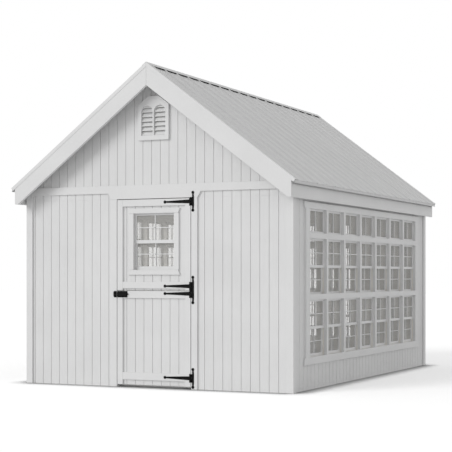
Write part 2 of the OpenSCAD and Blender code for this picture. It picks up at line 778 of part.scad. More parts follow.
// A tapered strap with a ball end, a flange kept on its leaf and a bored barrel
module strap(z, leaf_low, leaf_high) {
    root = pin_d / 2 + pin_clear;
    inner = barrel_d / 2 + 2 * pin_clear;
    outline(trim_face, strap_t) translate([hinge_x, 0]) {
        translate([0, z]) polygon([[-root, -strap_root / 2], [-root, strap_root / 2],
            [-strap_l, strap_neck / 2], [-strap_l, -strap_neck / 2]]);
        translate([-strap_l, z]) circle(d = ball_d);
        low = max(z - flange_h / 2, leaf_low + joint_gap);
        translate([-inner - flange_w, low])
            square([flange_w, min(z + flange_h / 2, leaf_high - joint_gap) - low]);
    }
    barrel(z - strap_root / 2, z + strap_root / 2, pin_d + 2 * pin_clear);
}

module upper_door_straps() color([0.08, 0.08, 0.08]) at_wall("front") {
    for (z = [top_strap_z, upper_strap_z]) strap(z, upper_leaf_z, leaf_top);
}

module lower_door_straps() color([0.08, 0.08, 0.08]) at_wall("front") {
    for (z = [lower_strap_z, foot_strap_z]) strap(z, leaf_foot, lower_leaf_top);
}

module upper_door_panel() color("gainsboro") at_wall("front") difference() {
    block([-leaf_reach, -siding_t, upper_leaf_z], [leaf_reach, leaf_t - siding_t, leaf_top]);
    block([-door_window_reach, -siding_t - over, door_window_z],
        [door_window_reach, leaf_t + over, door_window_top]);
}

module lower_door_panel() color("gainsboro") at_wall("front")
    block([-leaf_reach, -siding_t, leaf_foot], [leaf_reach, leaf_t - siding_t, lower_leaf_top]);

// Battens of a leaf: two stiles with the rails between them
module leaf_battens(low, high, rails) {
    for (s = [0, 1]) mirror([s, 0, 0])
        block([leaf_reach - door_stile_w, -trim_face, low], [leaf_reach, -siding_t, high]);
    reach = leaf_reach - door_stile_w - joint_gap;
    for (z = rails) block([-reach, -trim_face, z[0]], [reach, -siding_t, z[1]]);
}

module upper_door_battens() color("white") at_wall("front") leaf_battens(upper_leaf_z, leaf_top,
    [[upper_leaf_z + upper_batten_up - upper_batten_w, upper_leaf_z + upper_batten_up],
        [leaf_top - upper_batten_w, leaf_top]]);

module lower_door_battens() color("white") at_wall("front") leaf_battens(leaf_foot, lower_leaf_top,
    [[leaf_foot + lower_batten_up, leaf_foot + lower_batten_up + trim_w],
        [lower_leaf_top - trim_w, lower_leaf_top]]);

module door_window_trims() color("white") at_wall("front") {
    outer = door_window_reach + door_trim_w;
    for (s = [0, 1]) mirror([s, 0, 0])
        block([door_window_reach, -trim_face, door_window_z + joint_gap],
            [outer, -siding_t, door_window_top - joint_gap]);
    flared_trim(outer, door_trim_flare, door_window_top, door_window_top + door_trim_h,
        siding_t, trim_t);
    translate([0, 0, 2 * door_window_z - door_trim_h]) mirror([0, 0, 1])
        flared_trim(outer, door_trim_flare, door_window_z - door_trim_h, door_window_z,
            siding_t, trim_t);
}

module door_window(glass) {
    reach = door_window_reach - seat_gap;
    low = door_window_z + seat_gap;
    high = door_window_top - seat_gap;
    meet = (low + high) / 2;
    foot = door_sash_foot;
    face = -siding_t + door_sash_back;
    upper = [meet - foot / 2, high, face];
    lower = [low, meet + foot / 2, face + door_sash_t + seat_gap];
    for (s = [upper, lower]) {
        if (glass) pane(reach, s[0], s[1], s[2], door_sash_t, door_sash_rail, foot);
        else sash(reach, s[0], s[1], s[2], door_sash_t, door_sash_rail, foot);
    }
}

module door_sashes() color("white") at_wall("front") door_window(false);
module door_glass() color("lightblue", 0.4) at_wall("front") door_window(true);

// A plate with a case on it, between two ends
module bolt_box(low_x, high_x, margin) {
    block([low_x, -trim_face - strap_t, bolt_z - bolt_plate_h / 2],
        [high_x, -trim_face, bolt_z + bolt_plate_h / 2]);
    block([low_x + margin, -trim_face - strap_t - bolt_case_t, bolt_z - bolt_case_h / 2],
        [high_x - margin, -trim_face, bolt_z + bolt_case_h / 2]);
}

// The bolt is drawn back in its case on the lower leaf, and its end with the knob shows
module slide_bolt() color([0.08, 0.08, 0.08]) at_wall("front") {
    left = -leaf_reach + joint_gap;
    right = left + bolt_plate_l;
    bolt_box(left, right, bolt_margin);
    translate([right - bolt_margin - seat_gap, -trim_face - strap_t - bolt_case_t / 2, bolt_z])
        rotate([0, 90, 0]) {
            cylinder(d = bolt_d, h = bolt_margin + knob_l);
            translate([0, 0, bolt_margin + knob_l / 2]) cylinder(d = bolt_case_t, h = knob_l / 2);
        }
}

module bolt_keeper() color([0.08, 0.08, 0.08]) at_wall("front") {
    right = -door_w / 2 - joint_gap;
    bolt_box(right - bolt_plate_h / 2, right, bolt_margin / 2);
}

side_wall_plates();
end_wall_plates();
side_wall_studs();
end_wall_studs();
gable_studs();
window_blocks();
window_headers();
right_siding();
left_siding();
front_siding();
rear_siding();
corner_trims();
front_band_board();
door_casings();
window_head_and_sill_trims();
window_jamb_trims();
mullion_covers();
cross_covers();
right_sashes();
left_sashes();
rear_sashes();
right_glass();
left_glass();
rear_glass();
rafters();
ridge_board();
roof_deck();
roof_sheets();
ridge_cap();
gable_edge_trims();
rake_boards();
rake_soffits();
fascias();
eave_soffits();
gable_vent_frame();
gable_vent_slats();
door_side_jambs();
door_head_jamb();
door_stops();
hinge_plates();
bolt_keeper();
upper_door_panel();
upper_door_battens();
door_window_trims();
door_sashes();
door_glass();
upper_door_straps();
lower_door_panel();
lower_door_battens();
lower_door_straps();
slide_bolt();
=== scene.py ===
# %% [markdown]
# A small timber greenhouse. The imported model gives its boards, timbers, sheets and ironwork at their
# real places. This lesson gives them their finish: grooves in the siding, eased edges on the boards,
# glazing bars in the sashes, a drip strip at each eave, screws in the ironwork, and paint, glass, metal
# and whitewashed timber.

# %% Load the frame
import json
import math
import bpy
from mathutils import Matrix, Vector


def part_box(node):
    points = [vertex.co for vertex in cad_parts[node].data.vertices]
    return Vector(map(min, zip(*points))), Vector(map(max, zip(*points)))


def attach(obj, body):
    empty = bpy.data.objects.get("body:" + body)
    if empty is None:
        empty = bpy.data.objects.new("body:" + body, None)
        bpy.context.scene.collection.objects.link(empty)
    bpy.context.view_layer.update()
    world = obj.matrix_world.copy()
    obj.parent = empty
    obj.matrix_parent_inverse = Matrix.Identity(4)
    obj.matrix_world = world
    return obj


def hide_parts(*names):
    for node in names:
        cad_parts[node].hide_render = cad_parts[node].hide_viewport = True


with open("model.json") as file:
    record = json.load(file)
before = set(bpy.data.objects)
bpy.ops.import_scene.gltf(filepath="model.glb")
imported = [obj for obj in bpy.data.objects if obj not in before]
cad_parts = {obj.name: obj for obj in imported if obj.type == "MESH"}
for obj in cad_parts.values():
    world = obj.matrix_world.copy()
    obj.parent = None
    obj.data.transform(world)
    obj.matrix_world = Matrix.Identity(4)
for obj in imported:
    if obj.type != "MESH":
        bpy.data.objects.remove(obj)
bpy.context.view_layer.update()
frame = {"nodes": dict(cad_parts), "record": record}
nodes = frame["nodes"]
print("nodes loaded:", len(nodes))

# %% [markdown]
# The photograph was taken with a level camera, from in front and to the right, about chest high.
# Its place and its lens were worked out from the grooves of the siding, which are 4 inches apart.
# Upright lines stay upright because the camera is level and its frame is shifted instead of tilted.

# %% Camera
PHOTO_PX = 452
FOCAL_PX = 1264.5
OPTICAL_AXIS_PX = (272.4, 275.4)
SENSOR_MM = 36
CAMERA_PLACE = (6.374, -13.475, 1.150)
CAMERA_TURN = math.radians(24.03)
bpy.ops.object.camera_add(location=CAMERA_PLACE, rotation=(math.pi / 2, 0, CAMERA_TURN))
camera = bpy.context.object
camera.name = "photo_camera"
camera.data.sensor_width = SENSOR_MM
camera.data.lens = FOCAL_PX / PHOTO_PX * SENSOR_MM
camera.data.shift_x = (PHOTO_PX / 2 - OPTICAL_AXIS_PX[0]) / PHOTO_PX
camera.data.shift_y = (OPTICAL_AXIS_PX[1] - PHOTO_PX / 2) / PHOTO_PX
bpy.context.scene.camera = camera
bpy.context.scene.view_settings.view_transform = "Standard"
print("lens in millimetres:", round(camera.data.lens, 1))

# %% [markdown]
# Materials are small node trees. One function turns a screen colour, written as hex, into the linear
# numbers that a shader wants, and one adds a node with its settings and its links. A third starts a
# material: it returns the tree, its shader and the object coordinates that every pattern here reads.
# The last two set the colours of a ramp, and link the finished pattern to the shader.

# %% Material helpers


def colour(code):
    """The linear colour of a hex code such as #E0E0DE."""
    parts = [int(code[i:i + 2], 16) / 255 for i in (1, 3, 5)]
    return [c / 12.92 if c <= 0.04045 else ((c + 0.055) / 1.055) ** 2.4 for c in parts] + [1.0]


def add(tree, kind, settings=None, links=None):
    """Adds a node, sets attributes or inputs by name, and links its inputs to other sockets."""
    node = tree.nodes.new(kind)
    for key, value in (settings or {}).items():
        if isinstance(key, int) or key in node.inputs:
            node.inputs[key].default_value = value
        else:
            setattr(node, key, value)
    for key, socket in (links or {}).items():
        tree.links.new(socket, node.inputs[key])
    return node


def start_material(name, roughness, **inputs):
    """A new material with a Principled shader whose constant inputs are set."""
    material = bpy.data.materials.new(name)
    material.use_nodes = True
    tree = material.node_tree
    shader = tree.nodes["Principled BSDF"]
    shader.inputs["Roughness"].default_value = roughness
    for key, value in inputs.items():
        shader.inputs[key.replace("_", " ")].default_value = value
    place = add(tree, "ShaderNodeTexCoord").outputs["Object"]
    return material, tree, shader, place


def set_ramp(ramp, low, high, start=0.3, stop=0.7):
    """Sets the two colours of a ramp node and the values where they start and stop."""
    for end, code, position in zip(ramp.color_ramp.elements, (low, high), (start, stop)):
        end.color = colour(code)
        end.position = position


def link_finish(tree, shader, ramp, bump):
    """Links a ramp to the colour of a shader, and a bump to its normal."""
    tree.links.new(ramp.outputs["Color"], shader.inputs["Base Color"])
    tree.links.new(bump.outputs["Normal"], shader.inputs["Normal"])


# %% [markdown]
# The boards are painted with white acrylic paint. The siding is engineered wood, pressed with a shallow
# wood grain about 4 mm wide that runs up the wall, and the paint leaves it soft and matt. Trim boards
# are smoother. Paint outdoors is never one white: it is warmer where it is thin and greyer where dust
# sits, in clouds about half a metre wide. Sashes have harder, glossier paint, which shows brush marks.

# %% Painted boards
CLOUDS_PER_METRE = 2.2
GRAIN_SHARE = 0.4


def painted_board(name, clean, dusty, roughness, grain_m, stretch, depth_m):
    """White paint over a grained board; the grain is drawn out by the scale on each axis."""
    material, tree, shader, place = start_material(name, roughness)
    drawn = add(tree, "ShaderNodeMapping", {"Scale": stretch}, {"Vector": place})
    grain = add(tree, "ShaderNodeTexNoise", {"Scale": 1 / grain_m, "Detail": 5.0},
                {"Vector": drawn.outputs["Vector"]})
    cloud = add(tree, "ShaderNodeTexNoise", {"Scale": CLOUDS_PER_METRE, "Detail": 3.0}, {"Vector": place})
    mixed = add(tree, "ShaderNodeMix", {"Factor": GRAIN_SHARE},
                {"A": cloud.outputs["Fac"], "B": grain.outputs["Fac"]})
    ramp = add(tree, "ShaderNodeValToRGB", links={"Fac": mixed.outputs["Result"]})
    set_ramp(ramp, dusty, clean)
    bump = add(tree, "ShaderNodeBump", {"Distance": depth_m}, {"Height": grain.outputs["Fac"]})
    link_finish(tree, shader, ramp, bump)
    return material


siding_paint = painted_board(
    "acrylic_paint_on_grained_siding", clean="#E6E6E6", dusty="#DDDDDD", roughness=0.62,
    grain_m=0.004, stretch=(1, 1, 0.03), depth_m=0.0006)
trim_paint = painted_board(
    "acrylic_paint_on_smooth_trim", clean="#E6E6E6", dusty="#DFDFDF", roughness=0.55,
    grain_m=0.006, stretch=(1, 1, 0.2), depth_m=0.0002)
sash_paint = painted_board(
    "semi_gloss_paint_on_sashes", clean="#E6E6E6", dusty="#DFDFDF", roughness=0.4,
    grain_m=0.010, stretch=(1, 1, 1), depth_m=0.0001)
print("board paints:", siding_paint.name, trim_paint.name, sash_paint.name)

# %% [markdown]
# Inside, the timbers and the roof boards are whitewashed: thin white wash over planed spruce, so the
# grain still shows as a warm tint. Grain runs along each timber, 12 mm wide, so upright timbers, those
# along the building and those across it have a material each, with the noise drawn out on that axis.

# %% Whitewashed timber
SPRUCE_GRAIN = 0.012
SPRUCE_GRAIN_DEEP = 0.0004
DRAWN_OUT = 0.04


def whitewashed(name, stretch):
    """Thin white wash over spruce, with the grain drawn out along the timber."""
    material, tree, shader, place = start_material(name, roughness=0.75)
    drawn = add(tree, "ShaderNodeMapping", {"Scale": stretch}, {"Vector": place})
    grain = add(tree, "ShaderNodeTexNoise", {"Scale": 1 / SPRUCE_GRAIN, "Detail": 5.0},
                {"Vector": drawn.outputs["Vector"]})
    ramp = add(tree, "ShaderNodeValToRGB", links={"Fac": grain.outputs["Fac"]})
    set_ramp(ramp, "#ECE9E2", "#F7F5F1")
    bump = add(tree, "ShaderNodeBump", {"Distance": SPRUCE_GRAIN_DEEP}, {"Height": grain.outputs["Fac"]})
    link_finish(tree, shader, ramp, bump)
    return material


upright_timber = whitewashed("whitewash_on_upright_spruce", (1, 1, DRAWN_OUT))
long_timber = whitewashed("whitewash_on_long_spruce", (1, DRAWN_OUT, 1))
cross_timber = whitewashed("whitewash_on_cross_spruce", (DRAWN_OUT, 1, 1))
print("timber washes:", upright_timber.name, long_timber.name, cross_timber.name)

# %% [markdown]
# The roof deck is strand board under the same wash: flakes of wood about 60 mm long, pressed flat in
# every direction. A Voronoi pattern gives each flake its own shade and a slight step at its edge.

# %% Whitewashed strand board
FLAKE = 0.06
FLAKE_STEP = 0.0008
strand_board, tree, shader, place = start_material("whitewash_on_strand_board", roughness=0.8)
flakes = add(tree, "ShaderNodeTexVoronoi", {"Scale": 1 / FLAKE}, {"Vector": place})
ramp = add(tree, "ShaderNodeValToRGB", links={"Fac": flakes.outputs["Color"]})
set_ramp(ramp, "#E6E2D9", "#F3F0EA", start=0.1, stop=0.9)
bump = add(tree, "ShaderNodeBump", {"Distance": FLAKE_STEP}, {"Height": flakes.outputs["Distance"]})
link_finish(tree, shader, ramp, bump)
print("deck board:", strand_board.name)

# %% [markdown]
# Window glass is float glass with the thin pale film that damp and dust leave in a greenhouse. The eye
# sees the far windows through it, a little veiled, and the sky mirrored in it. A nearly clear, very
# smooth coat gives both, with a wave of 0.3 mm over half a metre, which is the slight waviness that
# bends reflections in real panes.

# %% Glass
WAVES_PER_METRE = 2.0
WAVE_DEEP = 0.0003
glass, tree, shader, place = start_material("clear_float_glass", roughness=0.03, Alpha=0.2, IOR=1.52)
shader.inputs["Base Color"].default_value = colour("#F2F1EE")
wave = add(tree, "ShaderNodeTexNoise", {"Scale": WAVES_PER_METRE, "Detail": 1.0}, {"Vector": place})
bump = add(tree, "ShaderNodeBump", {"Distance": WAVE_DEEP}, {"Height": wave.outputs["Fac"]})
tree.links.new(bump.outputs["Normal"], shader.inputs["Normal"])
print("glass:", glass.name)

# %% [markdown]
# The roof is roll-formed steel with a baked pale grey paint. Rain leaves faint streaks down the slope,
# which runs across the building, so the streaks are long in x and z and 50 mm wide in y. Rolling leaves
# the flats a little wavy, which the bump gives.

# %% Painted roof metal
STREAK = 0.05
RUN_DOWN = 0.08
DENT = 0.08
DENT_DEEP = 0.0005
roof_paint, tree, shader, place = start_material("baked_paint_on_steel_roof", roughness=0.45)
drawn = add(tree, "ShaderNodeMapping", {"Scale": (RUN_DOWN, 1, RUN_DOWN)}, {"Vector": place})
rain = add(tree, "ShaderNodeTexNoise", {"Scale": 1 / STREAK, "Detail": 5.0},
           {"Vector": drawn.outputs["Vector"]})
ramp = add(tree, "ShaderNodeValToRGB", links={"Fac": rain.outputs["Fac"]})
set_ramp(ramp, "#CECECE", "#D6D6D6")
dents = add(tree, "ShaderNodeTexNoise", {"Scale": 1 / DENT, "Detail": 2.0}, {"Vector": place})
bump = add(tree, "ShaderNodeBump", {"Distance": DENT_DEEP}, {"Height": dents.outputs["Fac"]})
link_finish(tree, shader, ramp, bump)
print("roof paint:", roof_paint.name)

# %% [markdown]
# The hinges and the latch are steel with black powder coat: a fine orange-peel skin about 1.5 mm
# across, half matt, cloudy by a shade where hands and rain have dulled it.

# %% Black powder coat
DULL_CLOUD = 0.02
PEEL = 0.0015
PEEL_DEEP = 0.0002
iron, tree, shader, place = start_material(
    "black_powder_coat_on_steel", roughness=0.6, Specular_IOR_Level=0.12)
cloud = add(tree, "ShaderNodeTexNoise", {"Scale": 1 / DULL_CLOUD, "Detail": 3.0}, {"Vector": place})
ramp = add(tree, "ShaderNodeValToRGB", links={"Fac": cloud.outputs["Fac"]})
set_ramp(ramp, "#030303", "#0A0A0A")
peel = add(tree, "ShaderNodeTexNoise", {"Scale": 1 / PEEL, "Detail": 2.0}, {"Vector": place})
bump = add(tree, "ShaderNodeBump", {"Distance": PEEL_DEEP}, {"Height": peel.outputs["Fac"]})
link_finish(tree, shader, ramp, bump)
print("ironwork:", iron.name)

# %% [markdown]
# The closures under the ridge cap are black closed-cell foam, cast in strips: dull, with pores about
# 2 mm across that only roughen it. Their near-black is painted shade, standing in for the shadow in the gaps
# under the cap.

# %% Closure foam, black as painted shade
PORE = 0.002
PORE_DEEP = 0.0005
gap_shade_foam, tree, shader, place = start_material(
    "black_closed_cell_foam", roughness=0.95, Specular_IOR_Level=0.1)
pores = add(tree, "ShaderNodeTexVoronoi", {"Scale": 1 / PORE}, {"Vector": place})
ramp = add(tree, "ShaderNodeValToRGB", links={"Fac": pores.outputs["Distance"]})
set_ramp(ramp, "#0A0A0A", "#1C1C1C")
bump = add(tree, "ShaderNodeBump", {"Distance": PORE_DEEP}, {"Height": pores.outputs["Distance"]})
link_finish(tree, shader, ramp, bump)
print("closures:", gap_shade_foam.name)

# %% [markdown]
# Every node gets its material by the words in its name. A node whose shape is right keeps its mesh.

# %% Materials on the nodes
FINISHES = [
    (siding_paint, "siding door_panel"),
    (glass, "glass"),
    (sash_paint, "sashes"),
    (roof_paint, "roof_sheets ridge_cap"),
    (iron, "hinge_plates bolt_keeper straps slide_bolt"),
    (upright_timber, "studs"),
    (long_timber, "side_wall_plates window_blocks window_headers ridge_board"),
    (cross_timber, "end_wall_plates rafters"),
    (strand_board, "roof_deck"),
]


def finish_of(name):
    """The material of a node, by the words in its name; trim paint is the rest."""
    for material, words in FINISHES:
        if any(word in name for word in words.split()):
            return material
    return trim_paint


for name, node in nodes.items():
    node.data.materials.clear()
    node.data.materials.append(finish_of(name))
BODIES = frame["record"]["behaviour"]["bodies"]
BODY_OF = {name: body for body, names in BODIES.items() for name in names}
print("materials on the nodes:", len(FINISHES) + 1)

# %% [markdown]
# A few small helpers do what every piece below needs. Everything is deselected before each operator,
# because an operator acts on all that is selected. A new piece is named, given its material, and set on
# the body that carries it, with its size and place in its mesh.

# %% Helpers for pieces


def select_only(*pieces):
    """Leaves some objects selected, the first of them active."""
    bpy.ops.object.select_all(action="DESELECT")
    for piece in pieces:
        piece.select_set(True)
    bpy.context.view_layer.objects.active = pieces[0]


def cube(middle, size):
    """A cube stretched to a size at a place."""
    bpy.ops.object.select_all(action="DESELECT")
    bpy.ops.mesh.primitive_cube_add(size=1, location=middle, scale=size)
    bpy.ops.object.transform_apply(location=True, rotation=True, scale=True)
    return bpy.context.object


def modify(piece, kind, **settings):
    """Adds a modifier and applies it."""
    select_only(piece)
    modifier = piece.modifiers.new(kind.lower(), kind)
    for key, value in settings.items():
        setattr(modifier, key, value)
    bpy.ops.object.modifier_apply(modifier=modifier.name)


def cut(piece, cutter):
    """Takes a cutter out of a piece, and removes the cutter."""
    modify(piece, "BOOLEAN", operation="DIFFERENCE", solver="EXACT", object=cutter)
    bpy.data.objects.remove(cutter)


def own(piece, name, body, material):
    """Names a new piece, gives it its material, and sets it on its body."""
    piece.name = name
    piece.data.name = name
    piece.data.materials.clear()
    piece.data.materials.append(material)
    select_only(piece)
    bpy.ops.object.transform_apply(location=True, rotation=True, scale=True)
    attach(piece, body)
    return piece


def copy_to(blank, matrix):
    """A copy of a blank with its own mesh, moved by a matrix."""
    piece = blank.copy()
    piece.data = blank.data.copy()
    piece.data.transform(matrix)
    bpy.context.scene.collection.objects.link(piece)
    return piece


def joined(parts, name, body, material):
    """Joins parts into one piece."""
    select_only(*parts)
    bpy.ops.object.join()
    return own(bpy.context.object, name, body, material)


# %% [markdown]
# A node's mesh is loose triangles. To work on a board, a copy of its mesh is merged, and its flat faces
# are made whole again, so that a bevel or a boolean finds the real edges. The copy then stands for the
# node, on the same body. A copy can also be split into its loose parts, which tells where each solid of
# the node is.

# %% Working copies of nodes
MERGE_WITHIN = 0.00002
FLAT_WITHIN = math.radians(0.5)


def merged_copy(name):
    """A copy of a node's mesh with whole faces."""
    piece = bpy.data.objects.new(name + "_copy", nodes[name].data.copy())
    bpy.context.scene.collection.objects.link(piece)
    select_only(piece)
    bpy.ops.object.mode_set(mode="EDIT")
    bpy.ops.mesh.select_all(action="SELECT")
    bpy.ops.mesh.remove_doubles(threshold=MERGE_WITHIN)
    bpy.ops.mesh.dissolve_limited(angle_limit=FLAT_WITHIN)
    bpy.ops.object.mode_set(mode="OBJECT")
    return piece


def working_copy(name, suffix):
    """A merged copy of a node's mesh that stands for the node."""
    piece = own(merged_copy(name), name + suffix, BODY_OF[name], finish_of(name))
    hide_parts(name)
    return piece


def solids_of(name):
    """The mesh points of each solid of a node."""
    merged_copy(name)
    bpy.ops.object.mode_set(mode="EDIT")
    bpy.ops.mesh.select_all(action="SELECT")
    bpy.ops.mesh.separate(type="LOOSE")
    bpy.ops.object.mode_set(mode="OBJECT")
    parts = list(bpy.context.selected_objects)
    found = [[vertex.co.copy() for vertex in part.data.vertices] for part in parts]
    for part in parts:
        bpy.data.objects.remove(part)
    return found


# %% [markdown]
# Planed boards have their edges eased by 1 to 2.5 mm, which is what catches the light along a board.
# A bevel of two segments does this to all boards of a node at once. Weighted normals then keep the big
# faces flat, so that only the eased edge shades round. The ironwork is eased less.

# %% Eased edges
EASED_MM = {
    2.5: "corner_trims rake_boards fascias",
    2.0: "front_band_board door_casings window_head_and_sill_trims window_jamb_trims gable_vent_frame "
         "upper_door_battens lower_door_battens door_window_trims",
    1.5: "mullion_covers cross_covers right_sashes left_sashes rear_sashes",
    1.0: "door_sashes",
    0.8: "slide_bolt bolt_keeper gable_edge_trims",
    0.6: "hinge_plates upper_door_straps lower_door_straps",
}
EASED_FROM = math.radians(40)
for width_mm, names in EASED_MM.items():
    for name in names.split():
        board = working_copy(name, "_eased")
        modify(board, "BEVEL", width=width_mm / 1000, segments=2, limit_method="ANGLE",
               angle_limit=EASED_FROM)
        select_only(board)
        bpy.ops.object.shade_smooth_by_angle(angle=EASED_FROM)
        modify(board, "WEIGHTED_NORMAL", keep_sharp=True, weight=100)
    print("eased by", width_mm, "mm:", names)

# %% [markdown]
# Grooved siding is cut by a planing head before it is painted: upright square grooves 4 inches apart,
# 6 mm wide and 6.5 mm deep. One cutter is shaped from a cube, repeated along the wall by an array,
# turned to its wall, and cut out of the siding by a boolean. One boolean for a whole row of grooves keeps
# the sheet a clean solid, and the array keeps the spacing exact.

# %% Groove cutter
GROOVE_PITCH = 0.1016
GROOVE_W = 0.006
GROOVE_DEPTH = 0.0065
CUTTER_SPARE = 0.010


def groove(name, first, count, turn, face):
    """Cuts upright grooves out of a sheet whose outer face lies at a distance, from foot to top."""
    low, high = (corner[2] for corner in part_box(name))
    depth = GROOVE_DEPTH + CUTTER_SPARE
    cutter = cube((first, -face - CUTTER_SPARE + depth / 2, (low + high) / 2),
                  (GROOVE_W, depth, high - low + 2 * CUTTER_SPARE))
    modify(cutter, "ARRAY", count=count, use_relative_offset=False, use_constant_offset=True,
           constant_offset_displace=(GROOVE_PITCH, 0, 0))
    cutter.rotation_euler = (0, 0, turn)
    select_only(cutter)
    bpy.ops.object.transform_apply(location=True, rotation=True, scale=True)
    cut(working_copy(name, "_grooved"), cutter)
    print(name, "has", count, "grooves")


# %% [markdown]
# The front, the right wall and the door start their grooves where the photograph shows them. The rear
# and the left wall, which it hides, follow the same pattern. The two door leaves share one row, so that
# their grooves meet when both are closed.

# %% Grooved siding
SIDE_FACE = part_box("right_siding")[1][0]
END_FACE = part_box("rear_siding")[1][1]
END_FIRST = -1.4547
END_GROOVES = 30
SIDE_FIRST = -2.0759
SIDE_GROOVES = 42
DOOR_FIRST = -0.325
DOOR_GROOVES = 7
groove("front_siding", END_FIRST, END_GROOVES, 0, END_FACE)
groove("rear_siding", END_FIRST, END_GROOVES, math.pi, END_FACE)
groove("right_siding", SIDE_FIRST, SIDE_GROOVES, math.pi / 2, SIDE_FACE)
groove("left_siding", SIDE_FIRST, SIDE_GROOVES, -math.pi / 2, SIDE_FACE)
groove("upper_door_panel", DOOR_FIRST, DOOR_GROOVES, 0, END_FACE)
groove("lower_door_panel", DOOR_FIRST, DOOR_GROOVES, 0, END_FACE)

# %% [markdown]
# Glazing bars divide each sash into small lights. A bar is a strip 9 mm wide that stands out on both
# faces of the glass. Each pane has an upright bar and a level one through its middle, and the low panes
# over the windows have an upright bar alone. The bars take their length from the pane, so that they meet
# the sash on every wall.

# %% Bars of one pane
BAR_W = 0.009
BAR_THROUGH = 0.017
LOW_PANE = 0.22


def box_of(points):
    """The middle and the size of the box round some points."""
    low = Vector(min(point[i] for point in points) for i in range(3))
    high = Vector(max(point[i] for point in points) for i in range(3))
    return (low + high) / 2, high - low


def pane_bars(blank, points):
    """The bars of one pane: an upright one, and a level one unless the pane is low."""
    middle, size = box_of(points)
    turn = math.pi / 2 if size.x < size.y else 0
    stand = Matrix.Translation(middle) @ Matrix.Rotation(turn, 4, "Z")
    bars = [copy_to(blank, stand @ Matrix.Diagonal((1, 1, size.z, 1)))]
    if size.z > LOW_PANE:
        lay = Matrix.Rotation(math.pi / 2, 4, "Y") @ Matrix.Diagonal((1, 1, max(size.x, size.y), 1))
        bars.append(copy_to(blank, stand @ lay))
    return bars


# %% [markdown]
# One bar is made from a cube, copied to each pane, turned for its wall and stretched to the pane. The
# panes are found by splitting a copy of the glass into its loose parts, so no place is typed in twice.

# %% Glazing bars
blank_bar = cube((0, 0, 0), (BAR_W, BAR_THROUGH, 1))
for wall in ("right", "left", "rear", "door"):
    glass_node = wall + "_glass"
    bars = [bar for points in solids_of(glass_node) for bar in pane_bars(blank_bar, points)]
    print(wall, "glazing bars:", len(bars))
    joined(bars, wall + "_glazing_bars", BODY_OF[glass_node], sash_paint)
bpy.data.objects.remove(blank_bar)

# %% [markdown]
# Screws hold the ironwork. A strap has one in its ball end and two along its length, a plate one in each
# ball end and two in its middle. The shares say where they sit: between the two ends of a strap, and
# between the middle and the ball ends of a plate.

# %% Places of the screws
STRAP_T = 0.003
STRAP_SHARES = (0.0, 0.42, 0.78)
PLATE_SHARES = (-1, -0.55, 0.55, 1)
BALL_D = 0.031
ROOT_MARGIN = 0.03
END_FACE_TRIM = -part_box("door_casings")[0][1]
IRON_FACE = END_FACE_TRIM + STRAP_T


def strap_screws(points):
    """Places of the screws along a strap, from its ball end to its barrel."""
    ball = min(points, key=lambda point: point.x)
    ball_mid = ball.x + BALL_D / 2
    root = max(point.x for point in points) - ROOT_MARGIN
    return [Vector((ball_mid + share * (root - ball_mid), -IRON_FACE, ball.z)) for share in STRAP_SHARES]


def plate_screws(points):
    """Places of the screws in the ball ends and the wings of a plate."""
    top = max(points, key=lambda point: point.z)
    foot = min(points, key=lambda point: point.z)
    reach = (top.z - foot.z) / 2 - BALL_D / 2
    middle = (top.z + foot.z) / 2
    return [Vector((top.x, -IRON_FACE, middle + share * reach)) for share in PLATE_SHARES]


# %% [markdown]
# The screw heads are rounded, 9 mm across, and blacked like the straps. One head is made from a short
# cylinder with all its edges bevelled, and copied to its places.

# %% Screws
SCREW_D = 0.009
SCREW_H = 0.0025
SCREW_ROUND = 0.00175
SCREWED = {"hinge_plates": plate_screws, "upper_door_straps": strap_screws, "lower_door_straps": strap_screws}
bpy.ops.object.select_all(action="DESELECT")
bpy.ops.mesh.primitive_cylinder_add(
    vertices=16, radius=SCREW_D / 2, depth=SCREW_H, location=(0, -SCREW_H / 2, 0),
    rotation=(math.pi / 2, 0, 0))
bpy.ops.object.transform_apply(location=True, rotation=True, scale=True)
blank_screw = bpy.context.object
bpy.ops.object.mode_set(mode="EDIT")
bpy.ops.mesh.select_all(action="SELECT")
bpy.ops.mesh.bevel(offset=SCREW_ROUND, segments=3, affect="EDGES")
bpy.ops.object.mode_set(mode="OBJECT")
for name, places in SCREWED.items():
    spots = [spot for points in solids_of(name) for spot in places(points)]
    heads = [copy_to(blank_screw, Matrix.Translation(spot)) for spot in spots]
    joined(heads, name + "_screws", BODY_OF[name], iron)
    print(name, "screws:", len(spots))
bpy.data.objects.remove(blank_screw)

# %% [markdown]
# Thin metal is folded on a brake. The same can be done to a plane: an edge of it is extruded by a move,
# and the new face is the part behind the fold. One helper picks the edge by its height, one folds there,
# and one turns the finished faces outwards.

# %% Folding a strip
DRIP_T = 0.0012


def select_edges(piece, height):
    """Selects the edges of a piece that lie at a height."""
    points = piece.data.vertices
    for face in piece.data.polygons:
        face.select = False
    for edge in piece.data.edges:
        edge.select = all(abs(points[i].co.z - height) < DRIP_T for i in edge.vertices)
    for vertex in points:
        vertex.select = abs(vertex.co.z - height) < DRIP_T


def fold(piece, height, move):
    """Extrudes the edge at a height by a move, as a fold does."""
    select_edges(piece, height)
    bpy.ops.object.mode_set(mode="EDIT")
    bpy.ops.mesh.select_mode(type="EDGE")
    bpy.ops.mesh.extrude_region_move(TRANSFORM_OT_translate={"value": move})
    bpy.ops.object.mode_set(mode="OBJECT")


def face_outwards(piece):
    """Turns all faces of a closed piece outwards."""
    select_only(piece)
    bpy.ops.object.mode_set(mode="EDIT")
    bpy.ops.mesh.select_all(action="SELECT")
    bpy.ops.mesh.normals_make_consistent(inside=False)
    bpy.ops.object.mode_set(mode="OBJECT")


# %% [markdown]
# A drip strip hangs from the lower edge of the metal sheets at each eave: a folded strip with a face
# 24 mm deep, which stands clear of the fascia and leaves the dark slot that shows over it. A plane on
# its edge is the face. Its top edge is folded up the slope as the flange under the sheets, and its lower
# edge as a short hem, and Solidify gives it the thickness of the metal.

